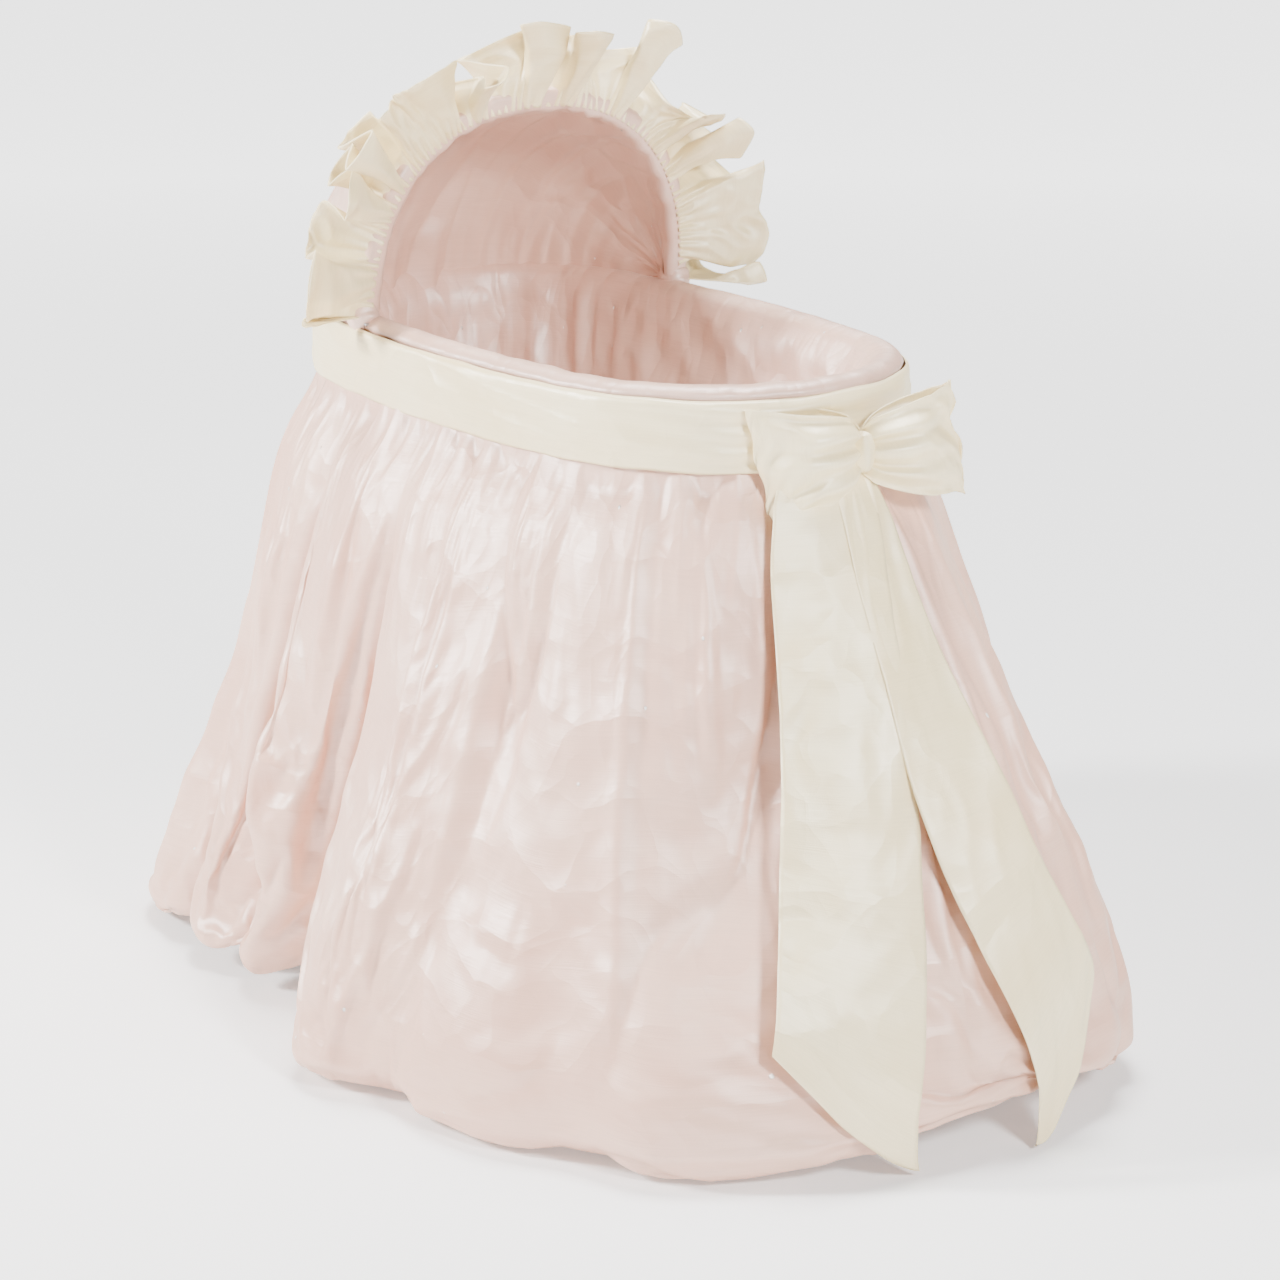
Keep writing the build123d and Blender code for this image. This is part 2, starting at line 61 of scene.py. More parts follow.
# --- The rim oval, as in the CAD ---
HALF_LENGTH = 0.405
HALF_WIDTH = 0.2165
END_RADIUS = 0.200
END_CENTRE = HALF_LENGTH - END_RADIUS
SIDE_RADIUS = (
    HALF_LENGTH**2 + HALF_WIDTH**2 - 2 * HALF_LENGTH * END_RADIUS
) / (2 * (HALF_WIDTH - END_RADIUS))
SIDE_CENTRE = SIDE_RADIUS - HALF_WIDTH
END_ANGLE = np.arctan2(SIDE_CENTRE, END_CENTRE)
# The outward direction's angle at each joint between arcs, and the way round to it.
JOINT_ANGLES = np.array([0, END_ANGLE, np.pi - END_ANGLE, np.pi + END_ANGLE, TAU - END_ANGLE, TAU])
ARC_RADII = np.array([END_RADIUS, SIDE_RADIUS, END_RADIUS, SIDE_RADIUS, END_RADIUS])
JOINT_WAYS = np.concatenate([[0], np.cumsum(ARC_RADII * np.diff(JOINT_ANGLES))])
PERIMETER = JOINT_WAYS[-1]

# The sash band's edges, and the axis that the hood folds on.
SASH_BOTTOM = 0.655
SASH_TOP = 0.725
PIVOT = np.array([-0.149, 0.0, 0.742])


def smooth(x, low, high):
    """0 below low, 1 above high, with a soft step between."""
    t = np.clip((x - low) / (high - low), 0, 1)
    return t * t * (3 - 2 * t)


def curve_through(x, points):
    """A smooth curve through (x, y) points with x increasing."""
    px, py = np.array(points, float).T
    slope = np.gradient(py, px)
    i = np.clip(np.searchsorted(px, x) - 1, 0, len(px) - 2)
    width = px[i + 1] - px[i]
    t = np.clip((x - px[i]) / width, 0, 1)
    start = (1 + 2 * t) * (1 - t) ** 2 * py[i] + t * (1 - t) ** 2 * width * slope[i]
    return start + t * t * (3 - 2 * t) * py[i + 1] - t * t * (1 - t) * width * slope[i + 1]


def round_curve(turn, points):
    """A smooth curve through (turn, value) points that closes on itself after one turn."""
    before = [(t - 1, v) for t, v in points]
    after = [(t + 1, v) for t, v in points]
    return curve_through(np.asarray(turn) % 1.0, before + list(points) + after)


def noise(x, y, period, seed):
    """Gradient noise from about -1 to 1 that repeats every `period` steps of x and every 64 of y."""
    angles = np.random.default_rng(seed).uniform(0, TAU, (64, period))
    x, y = np.broadcast_arrays(np.asarray(x, float), np.asarray(y, float))
    left, low = np.floor(x).astype(int), np.floor(y).astype(int)
    total = np.zeros(x.shape)
    for i in (0, 1):
        for j in (0, 1):
            dx, dy = x - left - i, y - low - j
            angle = angles[(low + j) % 64, (left + i) % period]
            weight = (1 - smooth(np.abs(dx), 0, 1)) * (1 - smooth(np.abs(dy), 0, 1))
            total += weight * (np.cos(angle) * dx + np.sin(angle) * dy)
    return 1.6 * total


def creases(x, y, period, seed):
    """Flat facets that meet in sharp ridges, from -1 to 1, as crisp silk crumples."""
    return 1 - 2.6 * np.abs(noise(x, y, period, seed))


def zigzag(phase):
    """A wave like a sine, but straight between its just rounded crests."""
    return np.arcsin(0.985 * np.sin(phase)) * 2 / np.pi


def oval(turn, out):
    """(x, y, outward x, outward y) at a turn round the rim, `out` outside the oval."""
    way = (np.asarray(turn, float) % 1.0) * PERIMETER
    angle = np.interp(way, JOINT_WAYS, JOINT_ANGLES)
    at_end = np.abs(np.cos(angle)) > np.cos(END_ANGLE)
    radius = np.where(at_end, END_RADIUS, SIDE_RADIUS) + out
    cx = np.where(at_end, np.sign(np.cos(angle)) * END_CENTRE, 0)
    cy = np.where(at_end, 0, -np.sign(np.sin(angle)) * SIDE_CENTRE)
    nx, ny = np.cos(angle), np.sin(angle)
    return cx + radius * nx, cy + radius * ny, nx, ny


def on_oval(turn, out, z):
    x, y, _, _ = oval(turn, out)
    return np.stack(np.broadcast_arrays(x, y, z), -1)


# --- Meshes ---
def surface(name, points, uv, closed=False):
    """A mesh object from a grid of points, rows by columns; closed joins the last column to the first."""
    rows, columns = points.shape[:2]
    wide = columns if closed else columns - 1
    i, j = np.meshgrid(np.arange(rows - 1), np.arange(wide), indexing="ij")
    corners = [(i, j), (i + 1, j), (i + 1, j + 1), (i, j + 1)]
    faces = np.stack([a * columns + b % columns for a, b in corners], -1).reshape(-1, 4)
    mesh = bpy.data.meshes.new(name)
    mesh.from_pydata(points.reshape(-1, 3).tolist(), [], faces.tolist())
    layer = mesh.uv_layers.new(name="cloth")
    at = np.stack([uv[a, b] for a, b in corners], -2).reshape(-1, 2)
    layer.data.foreach_set("uv", at.astype(np.float32).ravel())
    mesh.shade_smooth()
    made = bpy.data.objects.new(name, mesh)
    bpy.context.scene.collection.objects.link(made)
    return made


def cloth_uv(across, down):
    """UVs in metres of cloth: across the weft, down the warp."""
    return np.stack(np.broadcast_arrays(across, down), -1)


def flat_square(half):
    """A square on the floor, facing up."""
    return np.array([[[-half, half, 0], [half, half, 0]], [[-half, -half, 0], [half, -half, 0]]], float)


def thicken(piece, thickness, offset=-1.0):
    solid = piece.modifiers.new("thickness", "SOLIDIFY")
    solid.thickness = thickness
    solid.offset = offset
    return piece


def obstacle(name, points, closed):
    """A surface that simulated cloth comes to rest on, removed afterwards."""
    uv = np.concatenate([points, points[:, :1]], 1)[..., :2]
    body = surface(name, points, uv, closed)
    body.modifiers.new("hit", "COLLISION")
    body.collision.thickness_outer = 0.004
    body.collision.thickness_inner = 0.02
    body.collision.cloth_friction = 5.0
    return body


def settle(piece, held, obstacles, frames, bending, share):
    """Lets a cloth hang from its held vertices, then moves it a share of the way to where it rests."""
    start = np.zeros(3 * len(piece.data.vertices), np.float32)
    piece.data.vertices.foreach_get("co", start)
    group = piece.vertex_groups.new(name="held")
    group.add([int(v) for v in held], 1.0, "REPLACE")
    cloth = piece.modifiers.new("cloth", "CLOTH")
    cloth.settings.quality = 7
    cloth.settings.mass = 0.12
    cloth.settings.air_damping = 2.0
    cloth.settings.tension_stiffness = 25.0
    cloth.settings.compression_stiffness = 25.0
    cloth.settings.shear_stiffness = 8.0
    cloth.settings.bending_stiffness = bending
    cloth.settings.shrink_min = -0.035
    cloth.settings.vertex_group_mass = "held"
    cloth.collision_settings.distance_min = 0.003
    cloth.collision_settings.use_self_collision = False
    cloth.point_cache.frame_start = 1
    cloth.point_cache.frame_end = frames + 1
    for frame_number in range(1, frames + 1):
        bpy.context.scene.frame_set(frame_number)
    hung = piece.evaluated_get(bpy.context.evaluated_depsgraph_get())
    places = np.zeros(3 * len(piece.data.vertices), np.float32)
    hung.data.vertices.foreach_get("co", places)
    piece.modifiers.remove(cloth)
    piece.vertex_groups.clear()
    piece.data.vertices.foreach_set("co", start + share * (places - start))
    piece.data.update()
    for body in obstacles:
        bpy.data.objects.remove(body)
    bpy.context.scene.frame_set(1)


# --- Materials ---
def add(tree, kind, inputs=None, **settings):
    """A shader node. An input is a value, or another node's output socket."""
    made = tree.nodes.new("ShaderNode" + kind)
    for key, value in settings.items():
        setattr(made, key, value)
    for key, value in (inputs or {}).items():
        if isinstance(value, bpy.types.NodeSocket):
            tree.links.new(value, made.inputs[key])
        else:
            made.inputs[key].default_value = value
    return made


def new_material(name):
    material = bpy.data.materials.new(name)
    material.use_nodes = True
    tree = material.node_tree
    return material, tree, tree.nodes["Principled BSDF"]


def scaled(tree, coordinates, scale, turn=0.0):
    return add(
        tree, "Mapping", {"Vector": coordinates, "Scale": scale, "Rotation": (0, 0, turn)}
    ).outputs["Vector"]


def mixed(tree, factor, a, b):
    made = add(tree, "Mix", data_type="RGBA")
    tree.links.new(factor, made.inputs["Factor"])
    for key, colour in (("A", a), ("B", b)):
        socket = next(s for s in made.inputs if s.name == key and s.type == "RGBA")
        if isinstance(colour, bpy.types.NodeSocket):
            tree.links.new(colour, socket)
        else:
            socket.default_value = (*colour, 1)
    return next(s for s in made.outputs if s.type == "RGBA")


def ramp(tree, value, low, high, to_low=0.0, to_high=1.0):
    inputs = {"Value": value, "From Min": low, "From Max": high, "To Min": to_low, "To Max": to_high}
    return add(tree, "MapRange", inputs).outputs["Result"]


def bump(tree, height, distance, strength=1.0, under=None):
    inputs = {"Height": height, "Distance": distance, "Strength": strength}
    if under is not None:
        inputs["Normal"] = under
    return add(tree, "Bump", inputs).outputs["Normal"]


def clouds(tree, vector, scale=1.0, **inputs):
    """The value of a noise texture."""
    return add(tree, "TexNoise", {"Vector": vector, "Scale": scale, **inputs}).outputs["Fac"]


def cells(tree, vector, **inputs):
    """The distance from the nearest point of a random scatter, about one point to a unit."""
    return add(tree, "TexVoronoi", {"Vector": vector, "Scale": 1.0, **inputs}).outputs["Distance"]


def maths(tree, operation, *values):
    return add(tree, "Math", dict(enumerate(values)), operation=operation).outputs[0]


def feed(tree, shader, colour, normal, roughness):
    """Links what varies over a surface to its shader."""
    tree.links.new(colour, shader.inputs["Base Color"])
    tree.links.new(normal, shader.inputs["Normal"])
    tree.links.new(roughness, shader.inputs["Roughness"])


def silk(name, colour, deep, dots):
    """Slubbed silk: uneven weft threads, soft crumples and a satin gloss, with painted shade in its creases,
    and raised dots if asked.
    """
    material, tree, shader = new_material(name)
    cloth = add(tree, "UVMap", uv_map="cloth").outputs["UV"]
    slub = clouds(tree, scaled(tree, cloth, (14, 520, 1)), Detail=3.0, Roughness=0.7)
    thread = clouds(tree, scaled(tree, cloth, (900, 260, 1)), Detail=1.0)
    bend = add(tree, "TexNoise", {"Vector": cloth, "Scale": 9.0, "Detail": 2.0}).outputs["Color"]
    shift = scaled(tree, bend, (0.09, 0.09, 0))
    bent = add(tree, "VectorMath", {0: cloth, 1: shift}, operation="ADD").outputs["Vector"]
    crumple = cells(tree, scaled(tree, bent, (10, 15, 1), 0.5))
    fine = cells(tree, scaled(tree, bent, (34, 26, 1), -0.6))
    shade = clouds(tree, scaled(tree, cloth, (5, 7, 1)), Detail=3.0)
    base = mixed(tree, ramp(tree, shade, 0.3, 0.7), colour, deep)
    base = mixed(tree, ramp(tree, slub, 0.42, 0.75, 0.0, 0.35), base, [0.82 * c for c in deep])
    # Painted shade: in concave creases the colour goes towards a darker copy of the deep tint, where shade
    # falls.
    painted_crease_shade = add(tree, "NewGeometry").outputs["Pointiness"]
    base = mixed(tree, ramp(tree, painted_crease_shade, 0.495, 0.44, 0.0, 0.8), base, [0.75 * c for c in deep])
    normal = bump(tree, crumple, 0.010, 0.6)
    normal = bump(tree, fine, 0.0030, 0.6, normal)
    normal = bump(tree, slub, 0.0004, 0.5, normal)
    normal = bump(tree, thread, 0.00015, 0.4, normal)
    if dots:
        spot = cells(tree, scaled(tree, cloth, (21, 21, 1)), Randomness=0.75)
        dot = ramp(tree, spot, 0.055, 0.03)
        base = mixed(tree, dot, base, (0.93, 0.88, 0.84))
        normal = bump(tree, dot, 0.0012, 1.0, normal)
    feed(tree, shader, base, normal, ramp(tree, slub, 0.2, 0.8, 0.42, 0.56))
    shader.inputs["IOR"].default_value = 1.8
    shader.inputs["Specular IOR Level"].default_value = 1.0
    shader.inputs["Anisotropic"].default_value = 0.5
    shader.inputs["Sheen Weight"].default_value = 0.12
    shader.inputs["Sheen Roughness"].default_value = 0.35
    shader.inputs["Sheen Tint"].default_value = (1.0, 0.95, 0.92, 1)
    return material


def cotton(name, colour, weave=700.0):
    """Plain woven cotton."""
    material, tree, shader = new_material(name)
    cloth = add(tree, "TexCoord").outputs["Object"]
    over = clouds(tree, scaled(tree, cloth, (weave, weave, weave / 3)))
    soft = clouds(tree, cloth, 14.0, Detail=4.0)
    base = mixed(tree, ramp(tree, soft, 0.3, 0.7), colour, [0.93 * c for c in colour])
    normal = bump(tree, over, 0.0003, 0.5, bump(tree, soft, 0.004, 0.4))
    feed(tree, shader, base, normal, ramp(tree, over, 0.2, 0.8, 0.75, 0.9))
    shader.inputs["Sheen Weight"].default_value = 0.3
    shader.inputs["Sheen Roughness"].default_value = 0.5
    return material


def painted_wood(name, colour, shows):
    """Brushed paint over wood grain; `shows` is how much darker the grain is."""
    material, tree, shader = new_material(name)
    place = add(tree, "TexCoord").outputs["Object"]
    grain = clouds(tree, scaled(tree, place, (60, 60, 7)), Detail=5.0, Distortion=0.8)
    edge = add(tree, "NewGeometry").outputs["Pointiness"]
    base = mixed(tree, ramp(tree, grain, 0.35, 0.7), colour, [c * (1 - shows) for c in colour])
    base = mixed(tree, ramp(tree, edge, 0.53, 0.62, 0.0, 0.35), base, (0.62, 0.5, 0.36))
    feed(tree, shader, base, bump(tree, grain, 0.0006, 0.5), ramp(tree, grain, 0.3, 0.7, 0.36, 0.52))
    return material


def metal(name, colour, rough):
    """Brushed metal with faint stains."""
    material, tree, shader = new_material(name)
    place = add(tree, "TexCoord").outputs["Object"]
    brushed = clouds(tree, scaled(tree, place, (400, 400, 2500)))
    stain = clouds(tree, place, 60.0, Detail=3.0)
    base = mixed(tree, ramp(tree, stain, 0.3, 0.75), colour, [0.78 * c for c in colour])
    normal = bump(tree, brushed, 0.0001, 0.3)
    feed(tree, shader, base, normal, ramp(tree, stain, 0.2, 0.8, rough, rough + 0.15))
    shader.inputs["Metallic"].default_value = 1.0
    return material


def moulded(name, colour, rough):
    """Rubber or plastic with a fine moulded grain."""
    material, tree, shader = new_material(name)
    place = add(tree, "TexCoord").outputs["Object"]
    grain = clouds(tree, place, 900.0, Detail=2.0)
    dust = clouds(tree, place, 70.0, Detail=4.0)
    base = mixed(tree, ramp(tree, dust, 0.45, 0.8), colour, [min(1.0, 1.5 * c) for c in colour])
    normal = bump(tree, grain, 0.0002, 0.4)
    feed(tree, shader, base, normal, ramp(tree, dust, 0.2, 0.8, rough, rough + 0.15))
    return material


def wicker(name):
    """Willow rods woven round upright stakes, with painted shade where the weave lies low."""
    material, tree, shader = new_material(name)
    place = add(tree, "TexCoord").outputs["Object"]
    axes = add(tree, "SeparateXYZ", {"Vector": place}).outputs
    turn = maths(tree, "ARCTAN2", axes["Y"], axes["X"])
    stakes = maths(tree, "MULTIPLY", turn, 44.0)
    rows = maths(tree, "MULTIPLY", axes["Z"], 420.0)
    row_wave = maths(tree, "SINE", rows)
    half = maths(tree, "MULTIPLY", rows, 0.5)
    # The rod goes in front of a stake in one row, and behind it in the next.
    flip = maths(tree, "SIGN", maths(tree, "SINE", half))
    over = maths(tree, "MULTIPLY", maths(tree, "SINE", stakes), flip)
    height = maths(tree, "ADD", row_wave, over)
    grain = clouds(tree, place, 55.0, Detail=4.0)
    # Painted shade and light: dark brown where the weave lies low between the rods, light tan on the raised
    # rods.
    base = mixed(tree, ramp(tree, height, -1.2, 1.4), (0.30, 0.19, 0.09), (0.72, 0.53, 0.32))
    base = mixed(tree, ramp(tree, grain, 0.35, 0.75, 0.0, 0.5), base, (0.5, 0.34, 0.18))
    feed(tree, shader, base, bump(tree, height, 0.0025), ramp(tree, grain, 0.2, 0.8, 0.45, 0.65))
    return material


def srgb(hexed):
    """A colour as read off a screen, in linear light."""
    parts = [int(hexed[n : n + 2], 16) / 255 for n in (0, 2, 4)]
    return [c / 12.92 if c <= 0.04045 else ((c + 0.055) / 1.055) ** 2.4 for c in parts]


MATERIALS = {
    "pink_silk_skirt": silk("pink_silk_skirt", srgb("E6B9A1"), srgb("DBA68C"), True),
    "pink_silk_lining": silk("pink_silk_lining", srgb("DFB9A5"), srgb("D2A48E"), True),
    "ivory_silk": silk("ivory_silk", srgb("F2E2B4"), srgb("EAD39A"), False),
    "sheet_cotton": cotton("sheet_cotton", srgb("F7F4EF")),
    "lining_cotton": cotton("lining_cotton", srgb("F4E9E2")),
    "white_tape": cotton("white_tape", srgb("F6F6F4"), 1500.0),
    "stand_wood": painted_wood("stand_wood", srgb("EFEBE2"), 0.05),
    "plywood": painted_wood("plywood", srgb("D9BE92"), 0.25),
    "zinc_steel": metal("zinc_steel", srgb("C9CCD0"), 0.25),
    "sprung_wire": metal("sprung_wire", srgb("A8A9AC"), 0.3),
    "wheel_rubber": moulded("wheel_rubber", srgb("4A4A4C"), 0.55),
    "pedal_plastic": moulded("pedal_plastic", srgb("5A5C60"), 0.4),
    "wicker": wicker("wicker"),
}


def dress(piece, slot):
    piece.data.materials.clear()
    piece.data.materials.append(MATERIALS[slot])
    return piece


# --- Skirt ---
# How far the skirt stands out from the oval, at each way down the cloth from its upper edge.
SKIRT_PROFILE = [
    (0.0, -0.0012), (0.062, -0.0012), (0.085, 0.006), (0.12, 0.030), (0.22, 0.076), (0.42, 0.130),
    (0.58, 0.172), (0.65, 0.188), (0.70, 0.193), (0.735, 0.188), (0.757, 0.176), (0.775, 0.160),
    (0.82, 0.128), (0.90, 0.108),
]
# Its height at each way, down to the floor and up again inside the hem.
SKIRT_HEIGHTS = [
    (0.0, 0.716), (0.062, 0.655), (0.085, 0.634), (0.12, 0.602), (0.22, 0.508), (0.42, 0.314),
    (0.58, 0.160), (0.65, 0.092), (0.70, 0.043), (0.735, 0.014), (0.757, 0.003), (0.775, 0.004),
    (0.82, 0.026), (0.90, 0.085),
]
# How much more or less than the profile the hem stands out, round the oval.
HEM_LOBES = [
    (0.03, 0.074), (0.058, 0.066), (0.09, 0.01), (0.14, -0.01), (0.19, 0.05), (0.25, 0.01),
    (0.31, 0.05), (0.37, 0.00), (0.43, 0.04), (0.49, -0.01), (0.55, 0.01), (0.60, -0.010),
    (0.638, -0.025), (0.683, -0.060), (0.71, -0.085), (0.745, -0.055), (0.785, 0.024), (0.82, 0.026),
    (0.865, 0.029), (0.892, 0.034), (0.903, 0.025), (0.920, 0.064), (0.95, 0.074), (0.985, 0.070),
]
SKIRT_CUT = (3.5, 0.855)
# Where the modelled cloth starts, under the sash, and where it ends, inside the hem.
SKIRT_START = 0.045
SKIRT_END = 0.90
SKIRT_FOLDS = 16
FOLD_DEPTH = 0.088
GATHER_DEPTH = 0.018
CREASE_DEPTH = 0.0026
SKIRT_FRAMES = 26
# The furthest that the hem may stand out: past the first, it gives way over the second.
SKIRT_EASE = 0.225
SKIRT_GIVE = 0.043
# Where the skirt lies under the sash, just inside the oval.
UNDER_SASH = -0.0012
# Crisp silk stands out more than the solver's cloth, so the skirt goes only this share of the way.
SKIRT_SETTLED = 0.55


def skirt_mean(turn, way):
    """How far the skirt stands out without its folds, at a way down the cloth from its upper edge."""
    lobes = round_curve(turn, HEM_LOBES) * smooth(way, 0.10, 0.70) ** 1.3
    return curve_through(way, SKIRT_PROFILE) + lobes * (1 - 0.35 * smooth(way, 0.76, 0.90))


def crumple_skirt(skirt, turn, way):
    """Adds the small sharp creases of crisp silk, deepest low down, along the way the cloth faces."""
    places = np.zeros(3 * len(skirt.data.vertices))
    facing = np.zeros(3 * len(skirt.data.vertices))
    skirt.data.vertices.foreach_get("co", places)
    skirt.data.vertices.foreach_get("normal", facing)
    broad = creases(turn * 22 + way * 5, way * 7, 22, 24)
    slanted = broad + 0.6 * creases(turn * 40 - way * 9, way * 11, 40, 25)
    depth = CREASE_DEPTH * smooth(way, 0.10, 0.30) * slanted
    places += facing * np.repeat(depth.ravel(), 3)
    skirt.data.vertices.foreach_set("co", places)
    skirt.data.update()


def make_skirt():
    """Gathered under the sash, draped over a hoop of its usual shape, and turned under into a bubble hem."""
    rows, columns = 104, 600
    turn = np.arange(columns) / columns
    way = np.linspace(SKIRT_START, SKIRT_END, rows)[:, None]
    drift = 0.30 * noise(turn * 9, way * 2, 9, 22) * smooth(way, 0.05, 0.5)
    folds = 1.9 * np.abs(noise(turn * SKIRT_FOLDS + drift, way * 1.1, SKIRT_FOLDS, 2)) ** 0.9 - 0.55
    gathers = noise(turn * 76, way * 3, 76, 1) * np.exp(-np.maximum(way - 0.05, 0) / 0.16)
    deep = (0.008 + FOLD_DEPTH * smooth(way, 0.05, 0.38)) * (1 - 0.35 * smooth(way, 0.45, 0.70))
    deep = deep * (1 - 0.85 * smooth(way, 0.76, 0.88))
    out = skirt_mean(turn, way) + deep * folds + GATHER_DEPTH * smooth(way, SKIRT_START, 0.08) * gathers
    over = np.maximum(out - SKIRT_EASE, 0)
    out = np.maximum(out - over + SKIRT_GIVE * np.tanh(over / SKIRT_GIVE), UNDER_SASH)
    height = np.maximum(curve_through(way, SKIRT_HEIGHTS), 0.006)
    across = np.linspace(0, SKIRT_CUT[0], columns + 1)
    skirt = surface("skirt_cloth", on_oval(turn, out, height), cloth_uv(across, way), closed=True)
    hoop_way = np.linspace(0.09, 0.715, 40)[:, None]
    slack = 0.055 * smooth(hoop_way, 0.1, 0.35) * (1 - 0.70 * smooth(hoop_way, 0.45, 0.68))
    hoop_out = skirt_mean(turn[::4], hoop_way) - 0.010 - slack
    hoop_height = curve_through(hoop_way, SKIRT_HEIGHTS)
    hoop = obstacle("hoop", on_oval(turn[::4], hoop_out, hoop_height), True)
    ground = obstacle("ground", flat_square(2.0), False)
    held = np.arange(rows * columns)
    held = held[(held < 3 * columns) | (held >= (rows - 1) * columns)]
    settle(skirt, held, [hoop, ground], SKIRT_FRAMES, 1.6, SKIRT_SETTLED)
    crumple_skirt(skirt, turn, way)
    finer = skirt.modifiers.new("finer", "SUBSURF")
    finer.levels = 1
    finer.render_levels = 1
    dress(skirt, "pink_silk_skirt")
    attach(skirt, "basket")
    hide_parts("skirt")
    return skirt


# --- Underskirt ---
UNDERSKIRT_CUT = (2.9, 0.66)
UNDERSKIRT_TOP = 0.652
UNDERSKIRT_DROP = 0.622
UNDERSKIRT_PROFILE = [(0, -0.0065), (0.09, -0.006), (0.25, 0.010), (0.57, 0.045), (0.81, 0.072), (1, 0.088)]


def make_underskirt():
    """A plain cotton slip inside the skirt, gathered under the sash."""
    rows, columns = 60, 420
    turn = np.arange(columns) / columns
    way = np.linspace(0, 1, rows)[:, None]
    z = UNDERSKIRT_TOP - UNDERSKIRT_DROP * way
    lobes = 0.6 * np.minimum(round_curve(turn, HEM_LOBES), 0) * smooth(way, 0.1, 1)
    gathers = 0.006 * noise(turn * 52, way * 2, 52, 31) * smooth(way, 0, 0.2)
    out = curve_through(way, UNDERSKIRT_PROFILE) + lobes + gathers
    across = np.linspace(0, UNDERSKIRT_CUT[0], columns + 1)
    uv = cloth_uv(across, way * UNDERSKIRT_CUT[1])
    slip = surface("underskirt_cloth", on_oval(turn, out, z), uv, closed=True)
    dress(slip, "lining_cotton")
    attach(slip, "basket")
    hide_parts("underskirt")


# --- Lining ---
# Ways from under the sash over the roll and down inside, with how far out from the oval and how high.
LINING_PROFILE = [
    (0.0, -0.0062, 0.668), (0.052, -0.0062, 0.720), (0.061, -0.0010, 0.7285), (0.068, -0.0060, 0.7350),
    (0.081, -0.0190, 0.7385), (0.096, -0.0330, 0.7320), (0.112, -0.0400, 0.7180), (0.16, -0.0480, 0.672),
    (0.26, -0.0660, 0.575), (0.36, -0.0815, 0.4762),
]
# How much longer the gathered cloth is than the rim.
LINING_FULLNESS = 1.6


def make_lining():
    """The padded lining: a rolled rim, and gathers that run down to the mattress."""
    rows, columns = 90, 900
    turn = np.arange(columns) / columns
    ways, outs, heights = np.array(LINING_PROFILE).T
    way = np.linspace(0, ways[-1], rows)[:, None]
    out = curve_through(way, list(zip(ways, outs)))
    z = curve_through(way, list(zip(ways, heights)))
    head = np.exp(-(((turn - 0.5) / 0.19) ** 4))
    inside = smooth(way, 0.085, 0.15)
    folds = noise(turn * 62 + way * 3, way * 4, 62, 11)
    broad = noise(turn * 19 + way * 2, way * 3, 19, 12)
    facets = creases(turn * 26 + way * 9, way * 10, 26, 13)
    roll = noise(turn * 60, way * 0, 60, 14) * np.exp(-(((way - 0.085) / 0.025) ** 2))
    depth = (0.0025 + 0.0065 * head) * folds + 0.006 * broad + 0.0035 * facets
    out = out - inside * (0.004 + depth) - 0.0012 * roll
    z = z + 0.0012 * roll
    across = np.linspace(0, LINING_FULLNESS * PERIMETER, columns + 1)
    lining = surface("basket_lining", on_oval(turn, out, z), cloth_uv(across, way), closed=True)
    dress(lining, "pink_silk_lining")
    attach(lining, "basket")
    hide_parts("basket_liner")


# Ways from the middle of the top, over the edge, to the middle of the underside, with the share of the way
# out to the edge and the height.
MATTRESS_PROFILE = [
    (0.0, 0.0, 0.5115), (0.45, 0.45, 0.5112), (0.75, 0.80, 0.5100), (0.86, 0.95, 0.5060),
    (0.91, 1.0, 0.4970), (0.95, 0.985, 0.4860), (0.985, 0.95, 0.4775), (1.0, 0.90, 0.4745),
    (1.2, 0.0, 0.4742),
]
MATTRESS_EDGE = -0.0835


def make_mattress():
    """A foam mattress in a fitted cotton sheet: crowned, with a rounded edge and pulled-in sides."""
    rows, columns = 70, 360
    turn = np.arange(columns) / columns
    ways, shares, heights = np.array(MATTRESS_PROFILE).T
    way = np.linspace(0, ways[-1], rows)[:, None]
    share = np.clip(curve_through(way, list(zip(ways, shares))), 0.0, 1.0)
    z = curve_through(way, list(zip(ways, heights)))
    edge = on_oval(turn, MATTRESS_EDGE + 0 * way, z)
    wrinkle = creases(turn * 18 + share * 2, share * 5, 18, 21) + 0.6 * noise(turn * 60, share * 6, 60, 22)
    top = smooth(way, 0.3, 0.7) * (1 - smooth(way, 0.97, 1.0))
    points = edge.copy()
    points[..., :2] *= share[..., None]
    points[..., 2] += 0.0008 * wrinkle * top
    uv = np.concatenate([points, points[:, :1]], 1)[..., :2]
    pad = surface("mattress_pad", points, uv, closed=True)
    dress(pad, "sheet_cotton")
    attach(pad, "basket")
    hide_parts("mattress")


# --- Sash and bow ---
SASH_CUT = (2.10, 0.085)
SILK_THICKNESS = 0.0012
THIN_SILK = 0.0010


